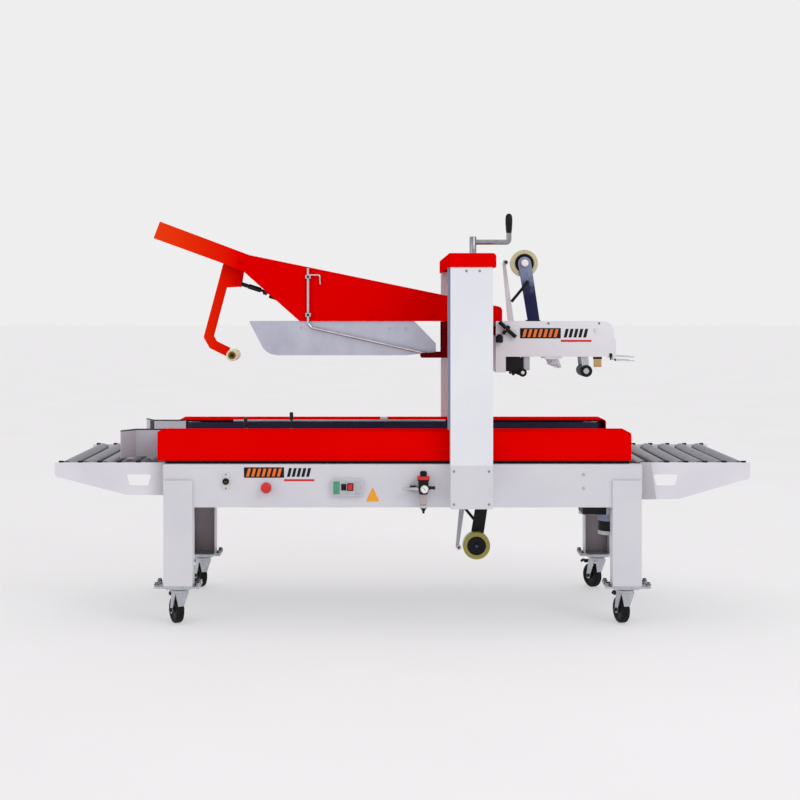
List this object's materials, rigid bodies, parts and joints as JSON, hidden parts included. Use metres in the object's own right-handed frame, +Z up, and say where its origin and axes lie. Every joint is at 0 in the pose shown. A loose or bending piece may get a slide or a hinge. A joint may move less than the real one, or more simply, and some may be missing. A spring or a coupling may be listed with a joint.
{
  "type": "carton sealer machine",
  "caption": "Semi-automatic carton sealer with side drive belts, a height-adjustable flap-folding arm and top and bottom tape heads, on casters.",
  "frame": {"origin": "on the floor, at the centre of the machine's footprint", "axes": "+X along the carton's travel from infeed to outfeed, -Y towards the operator, +Z up"},
  "size_m": [2.604, 0.886, 1.535],
  "materials": {
    "white_paint": "satin powder coat",
    "red_paint": "gloss powder coat",
    "dark_red_paint": "satin paint",
    "zinc": "zinc plated",
    "roller_steel": "zinc plated tube",
    "chrome": "polished",
    "sheet_grey": "satin sheet",
    "black_plastic": "matte",
    "red_plastic": "gloss",
    "grey_plastic": "matte",
    "navy_paint": "satin paint",
    "black_paint": "satin paint",
    "belt_rubber": "ribbed rubber",
    "tyre_rubber": "matte",
    "nylon": "smooth nylon",
    "tape_film": "clear adhesive tape",
    "brown_tape": "clear adhesive tape",
    "aluminium": "turned"
  },
  "bodies": {
    "frame": {"bed_frame": "white_paint", "extension_tables": "white_paint", "bed_rollers": "roller_steel", "legs": "white_paint", "frame_screws": "zinc", "columns": "white_paint", "top_bridge": "red_paint", "control_box": "grey_plastic", "air_regulator": "black_plastic", "bottom_head_housing": "sheet_grey", "bottom_tape_arm": "black_paint"},
    "start_button": {"start_button": "black_plastic"},
    "stop_button": {"stop_button": "red_plastic"},
    "emergency_stop": {"emergency_stop": "red_plastic"},
    "crank": {"crank_handle": "chrome", "lead_screw_near": "roller_steel"},
    "far_screw": {"lead_screw_far": "roller_steel"},
    "head": {"head_carriage": "dark_red_paint", "arm_shell": "red_paint", "flap_ski": "sheet_grey", "fold_rods": "chrome", "top_head_housing": "white_paint", "top_tape_arm": "navy_paint"},
    "kicker": {"kicker": "red_paint"},
    "kicker_roller": {"kicker_roller": "nylon"},
    "cylinder_barrel": {"cylinder_barrel": "black_paint"},
    "cylinder_rod": {"cylinder_rod": "chrome"},
    "top_front_roller": {"top_front_roller_arm": "black_paint"},
    "top_rear_roller": {"top_rear_roller_arm": "zinc"},
    "bottom_front_roller": {"bottom_front_roller_arm": "black_paint"},
    "bottom_rear_roller": {"bottom_rear_roller_arm": "zinc"},
    "top_tape_roll": {"top_tape_roll": "tape_film"},
    "bottom_tape_roll": {"bottom_tape_roll": "brown_tape"},
    "belt_unit_near": {"belt_guard_near": "red_paint", "belt_carriage_near": "sheet_grey", "drive_belt_near": "belt_rubber"},
    "drive_pulley_near": {"drive_pulley_near": "aluminium"},
    "idler_pulley_near": {"idler_pulley_near": "aluminium"},
    "belt_unit_far": {"belt_guard_far": "red_paint", "belt_carriage_far": "sheet_grey", "drive_belt_far": "belt_rubber"},
    "drive_pulley_far": {"drive_pulley_far": "aluminium"},
    "idler_pulley_far": {"idler_pulley_far": "aluminium"},
    "caster_fork_infeed_near": {"caster_fork_infeed_near": "zinc"},
    "caster_wheel_infeed_near": {"caster_wheel_infeed_near": "tyre_rubber"},
    "caster_fork_infeed_far": {"caster_fork_infeed_far": "zinc"},
    "caster_wheel_infeed_far": {"caster_wheel_infeed_far": "tyre_rubber"},
    "caster_fork_outfeed_near": {"caster_fork_outfeed_near": "zinc"},
    "caster_wheel_outfeed_near": {"caster_wheel_outfeed_near": "tyre_rubber"},
    "caster_fork_outfeed_far": {"caster_fork_outfeed_far": "zinc"},
    "caster_wheel_outfeed_far": {"caster_wheel_outfeed_far": "tyre_rubber"},
    "infeed_roller_1": {"infeed_roller_1": "roller_steel"},
    "outfeed_roller_1": {"outfeed_roller_1": "roller_steel"},
    "infeed_roller_2": {"infeed_roller_2": "roller_steel"},
    "outfeed_roller_2": {"outfeed_roller_2": "roller_steel"},
    "infeed_roller_3": {"infeed_roller_3": "roller_steel"},
    "outfeed_roller_3": {"outfeed_roller_3": "roller_steel"},
    "infeed_roller_4": {"infeed_roller_4": "roller_steel"},
    "outfeed_roller_4": {"outfeed_roller_4": "roller_steel"}
  },
  "joints": [
    {"name": "start_press", "type": "slide", "parent": "frame", "child": "start_button", "axis": [0, 1, 0], "range_m": [0, 0.003], "stiffness_N_per_m": 400, "springref_m": -0.002},
    {"name": "stop_press", "type": "slide", "parent": "frame", "child": "stop_button", "axis": [0, 1, 0], "range_m": [0, 0.003], "stiffness_N_per_m": 400, "springref_m": -0.002},
    {"name": "emergency_press", "type": "slide", "parent": "frame", "child": "emergency_stop", "axis": [0, 1, 0], "range_m": [0, 0.006]},
    {"name": "head_height", "type": "slide", "parent": "frame", "child": "head", "axis": [0, 0, 1], "range_m": [-0.235, 0.095]},
    {"name": "crank_turn", "type": "hinge", "parent": "frame", "child": "crank", "pos_m": [0.26, -0.4085, 1.4], "axis": [0, 0, 1], "range_deg": [-4240, 1720]},
    {"name": "far_screw_turn", "type": "hinge", "parent": "frame", "child": "far_screw", "pos_m": [0.26, 0.4085, 1.3], "axis": [0, 0, 1], "range_deg": [-4240, 1720]},
    {"name": "kicker_swing", "type": "hinge", "parent": "head", "child": "kicker", "pos_m": [-0.632, 0, 1.374], "axis": [0, 1, 0], "range_deg": [0, 45]},
    {"name": "kicker_roller_spin", "type": "hinge", "parent": "kicker", "child": "kicker_roller", "pos_m": [-0.669, 0, 0.999], "axis": [0, 1, 0], "continuous": true},
    {"name": "cylinder_swivel", "type": "hinge", "parent": "head", "child": "cylinder_barrel", "pos_m": [-0.332, 0, 1.184], "axis": [0, 1, 0], "range_deg": [-1, 5.22]},
    {"name": "cylinder_stroke", "type": "slide", "parent": "cylinder_barrel", "child": "cylinder_rod", "axis": [-0.9521, 0, 0.3059], "range_m": [-0.001, 0.0644]},
    {"name": "top_front_swing", "type": "hinge", "parent": "head", "child": "top_front_roller", "pos_m": [0.43, 0, 1.062], "axis": [0, -1, 0], "range_deg": [0, 60], "stiffness_Nm_per_rad": 6, "springref_deg": -28.65},
    {"name": "top_rear_swing", "type": "hinge", "parent": "head", "child": "top_rear_roller", "pos_m": [0.652, 0, 1.07], "axis": [0, -1, 0], "range_deg": [0, 37]},
    {"name": "bottom_front_swing", "type": "hinge", "parent": "frame", "child": "bottom_front_roller", "pos_m": [0.24, 0, 0.542], "axis": [0, 1, 0], "range_deg": [0, 60], "stiffness_Nm_per_rad": 14, "springref_deg": -34.38},
    {"name": "bottom_rear_swing", "type": "hinge", "parent": "frame", "child": "bottom_rear_roller", "pos_m": [0.462, 0, 0.534], "axis": [0, 1, 0], "range_deg": [0, 37]},
    {"name": "top_tape_spin", "type": "hinge", "parent": "head", "child": "top_tape_roll", "pos_m": [0.49, 0, 1.364], "axis": [0, 1, 0], "continuous": true},
    {"name": "bottom_tape_spin", "type": "hinge", "parent": "frame", "child": "bottom_tape_roll", "pos_m": [0.3, 0, 0.24], "axis": [0, 1, 0], "continuous": true},
    {"name": "belt_width_near", "type": "slide", "parent": "frame", "child": "belt_unit_near", "axis": [0, 1, 0], "range_m": [-0.009, 0.126]},
    {"name": "drive_spin_near", "type": "hinge", "parent": "belt_unit_near", "child": "drive_pulley_near", "pos_m": [0.792, -0.258, 0.67], "axis": [0, 0, 1], "continuous": true},
    {"name": "idler_spin_near", "type": "hinge", "parent": "belt_unit_near", "child": "idler_pulley_near", "pos_m": [-0.862, -0.258, 0.67], "axis": [0, 0, 1], "continuous": true},
    {"name": "belt_width_far", "type": "slide", "parent": "frame", "child": "belt_unit_far", "axis": [0, -1, 0], "range_m": [-0.009, 0.126]},
    {"name": "drive_spin_far", "type": "hinge", "parent": "belt_unit_far", "child": "drive_pulley_far", "pos_m": [0.792, 0.258, 0.67], "axis": [0, 0, 1], "continuous": true},
    {"name": "idler_spin_far", "type": "hinge", "parent": "belt_unit_far", "child": "idler_pulley_far", "pos_m": [-0.862, 0.258, 0.67], "axis": [0, 0, 1], "continuous": true},
    {"name": "caster_swivel_infeed_near", "type": "hinge", "parent": "frame", "child": "caster_fork_infeed_near", "pos_m": [-0.835, -0.338, 0.13], "axis": [0, 0, 1], "continuous": true},
    {"name": "wheel_spin_infeed_near", "type": "hinge", "parent": "caster_fork_infeed_near", "child": "caster_wheel_infeed_near", "pos_m": [-0.85049, -0.30886, 0.05], "axis": [0.8829, 0.4695, 0], "continuous": true},
    {"name": "caster_swivel_infeed_far", "type": "hinge", "parent": "frame", "child": "caster_fork_infeed_far", "pos_m": [-0.835, 0.338, 0.13], "axis": [0, 0, 1], "continuous": true},
    {"name": "wheel_spin_infeed_far", "type": "hinge", "parent": "caster_fork_infeed_far", "child": "caster_wheel_infeed_far", "pos_m": [-0.85049, 0.36714, 0.05], "axis": [0.8829, 0.4695, 0], "continuous": true},
    {"name": "caster_swivel_outfeed_near", "type": "hinge", "parent": "frame", "child": "caster_fork_outfeed_near", "pos_m": [0.835, -0.338, 0.13], "axis": [0, 0, 1], "continuous": true},
    {"name": "wheel_spin_outfeed_near", "type": "hinge", "parent": "caster_fork_outfeed_near", "child": "caster_wheel_outfeed_near", "pos_m": [0.82646, -0.30612, 0.05], "axis": [0.9659, 0.2588, 0], "continuous": true},
    {"name": "caster_swivel_outfeed_far", "type": "hinge", "parent": "frame", "child": "caster_fork_outfeed_far", "pos_m": [0.835, 0.338, 0.13], "axis": [0, 0, 1], "continuous": true},
    {"name": "wheel_spin_outfeed_far", "type": "hinge", "parent": "caster_fork_outfeed_far", "child": "caster_wheel_outfeed_far", "pos_m": [0.81951, 0.36714, 0.05], "axis": [0.8829, 0.4695, 0], "continuous": true},
    {"name": "infeed_spin_1", "type": "hinge", "parent": "frame", "child": "infeed_roller_1", "pos_m": [-1.26, 0, 0.588], "axis": [0, 1, 0], "continuous": true},
    {"name": "outfeed_spin_1", "type": "hinge", "parent": "frame", "child": "outfeed_roller_1", "pos_m": [1.26, 0, 0.588], "axis": [0, 1, 0], "continuous": true},
    {"name": "infeed_spin_2", "type": "hinge", "parent": "frame", "child": "infeed_roller_2", "pos_m": [-1.188, 0, 0.588], "axis": [0, 1, 0], "continuous": true},
    {"name": "outfeed_spin_2", "type": "hinge", "parent": "frame", "child": "outfeed_roller_2", "pos_m": [1.188, 0, 0.588], "axis": [0, 1, 0], "continuous": true},
    {"name": "infeed_spin_3", "type": "hinge", "parent": "frame", "child": "infeed_roller_3", "pos_m": [-1.116, 0, 0.588], "axis": [0, 1, 0], "continuous": true},
    {"name": "outfeed_spin_3", "type": "hinge", "parent": "frame", "child": "outfeed_roller_3", "pos_m": [1.116, 0, 0.588], "axis": [0, 1, 0], "continuous": true},
    {"name": "infeed_spin_4", "type": "hinge", "parent": "frame", "child": "infeed_roller_4", "pos_m": [-1.044, 0, 0.588], "axis": [0, 1, 0], "continuous": true},
    {"name": "outfeed_spin_4", "type": "hinge", "parent": "frame", "child": "outfeed_roller_4", "pos_m": [1.044, 0, 0.588], "axis": [0, 1, 0], "continuous": true}
  ],
  "couplings": [
    {"joint": "crank_turn", "follows": "head_height", "rad_per_m": 314.16},
    {"joint": "far_screw_turn", "follows": "head_height", "rad_per_m": 314.16},
    {"joint": "cylinder_swivel", "follows": "kicker_swing", "ratio": 0.09389},
    {"joint": "cylinder_stroke", "follows": "kicker_swing", "m_per_rad": 0.079411},
    {"joint": "top_rear_swing", "follows": "top_front_swing", "ratio": 0.6},
    {"joint": "bottom_rear_swing", "follows": "bottom_front_swing", "ratio": 0.6},
    {"joint": "belt_width_far", "follows": "belt_width_near", "ratio": 1},
    {"joint": "idler_spin_near", "follows": "drive_spin_near", "ratio": 1},
    {"joint": "idler_spin_far", "follows": "drive_spin_far", "ratio": 1}
  ]
}
